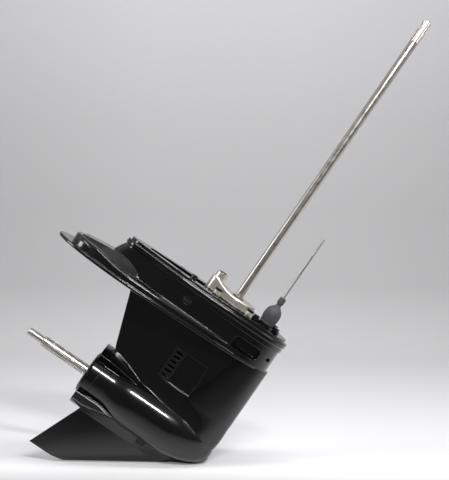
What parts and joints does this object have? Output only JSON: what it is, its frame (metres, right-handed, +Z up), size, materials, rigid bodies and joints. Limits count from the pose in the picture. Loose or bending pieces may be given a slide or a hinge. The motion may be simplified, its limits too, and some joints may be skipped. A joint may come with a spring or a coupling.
{
  "type": "outboard lower unit",
  "caption": "Outboard lower unit: black gearcase with plate and skeg, splined propeller shaft, tall drive shaft, water pump and booted shift rod.",
  "frame": {"origin": "the drive shaft's axis where it crosses the deck, the housing's mating face to the midsection", "axes": "+Z up along the drive shaft, +X forward towards the bow, +Y to port"},
  "size_m": [0.3796, 0.1302, 0.8599],
  "materials": {
    "housing_paint": "gloss black enamel on a cast housing",
    "screen_plastic": "black moulded plastic",
    "black_fastener": "semi-gloss black coated steel",
    "seal_rubber": "matte black nitrile",
    "boot_rubber": "matte dark grey moulded rubber",
    "gasket_fibre": "compressed fibre",
    "bearing_steel": "ground bearing steel",
    "gear_steel": "oiled hardened steel",
    "shaft_steel": "fine turned stainless steel",
    "plate_steel": "pressed stainless sheet",
    "pump_casting": "satin cast, champagne silver",
    "retainer_paint": "gloss black",
    "bushing_brass": "plain"
  },
  "bodies": {
    "housing": {"bearing_carrier": "housing_paint", "carrier_bolts": "black_fastener", "carrier_needle_bearing": "bearing_steel", "carrier_o_ring": "seal_rubber", "dowel_pins": "black_fastener", "drain_plug": "black_fastener", "drain_plug_washer": "gasket_fibre", "drive_shaft_bearing": "bearing_steel", "drive_shaft_seal": "seal_rubber", "forward_bearing_cup": "bearing_steel", "forward_bearing_rollers": "bearing_steel", "forward_shim": "gear_steel", "gear_housing": "housing_paint", "intake_screen_port": "screen_plastic", "intake_screen_starboard": "screen_plastic", "level_plug": "black_fastener", "level_plug_washer": "gasket_fibre", "pinion_bearing": "bearing_steel", "prop_shaft_seals": "seal_rubber", "pump_bolts": "black_fastener", "pump_cup": "plate_steel", "pump_gasket": "gasket_fibre", "pump_housing": "pump_casting", "pump_seal": "seal_rubber", "pump_wear_plate": "plate_steel", "retainer_bolts": "black_fastener", "reverse_bearing_balls": "bearing_steel", "reverse_bearing_outer_ring": "bearing_steel", "shift_boot": "boot_rubber", "shift_rod_bushing": "bushing_brass", "shift_rod_retainer": "retainer_paint", "water_tube_grommet": "seal_rubber"},
    "drive": {"drive_shaft": "shaft_steel", "pinion_gear": "gear_steel", "pinion_nut": "gear_steel", "impeller": "seal_rubber", "impeller_key": "shaft_steel"},
    "forward_gear": {"forward_gear": "gear_steel", "forward_bearing_cone": "bearing_steel"},
    "reverse_gear": {"reverse_gear": "gear_steel", "reverse_bearing_inner_ring": "bearing_steel"},
    "propeller_shaft": {"prop_shaft": "shaft_steel"},
    "clutch": {"dog_clutch": "gear_steel", "clutch_pin": "gear_steel", "clutch_spring_ring": "gear_steel", "shift_plunger": "gear_steel"},
    "shift_rod": {"shift_rod": "shaft_steel", "shift_cam": "gear_steel"}
  },
  "joints": [
    {"name": "drive_spin", "type": "hinge", "parent": "housing", "child": "drive", "pos_m": [0, 0, 0], "axis": [0, 0, 1], "continuous": true},
    {"name": "forward_gear_spin", "type": "hinge", "parent": "housing", "child": "forward_gear", "pos_m": [0, 0, -0.2095], "axis": [1, 0, 0], "continuous": true},
    {"name": "reverse_gear_spin", "type": "hinge", "parent": "housing", "child": "reverse_gear", "pos_m": [0, 0, -0.2095], "axis": [1, 0, 0], "continuous": true},
    {"name": "propeller_spin", "type": "hinge", "parent": "housing", "child": "propeller_shaft", "pos_m": [0, 0, -0.2095], "axis": [1, 0, 0], "continuous": true},
    {"name": "shift_slide", "type": "slide", "parent": "housing", "child": "shift_rod", "axis": [0, 0, 1], "range_m": [-0.0075, 0.0075], "deforming": ["shift_boot"]},
    {"name": "clutch_slide", "type": "slide", "parent": "propeller_shaft", "child": "clutch", "axis": [1, 0, 0], "range_m": [-0.0045, 0.0045]}
  ],
  "couplings": [
    {"joint": "forward_gear_spin", "follows": "drive_spin", "ratio": -0.5},
    {"joint": "reverse_gear_spin", "follows": "drive_spin", "ratio": 0.5},
    {"joint": "clutch_slide", "follows": "shift_slide", "ratio": -0.6}
  ]
}
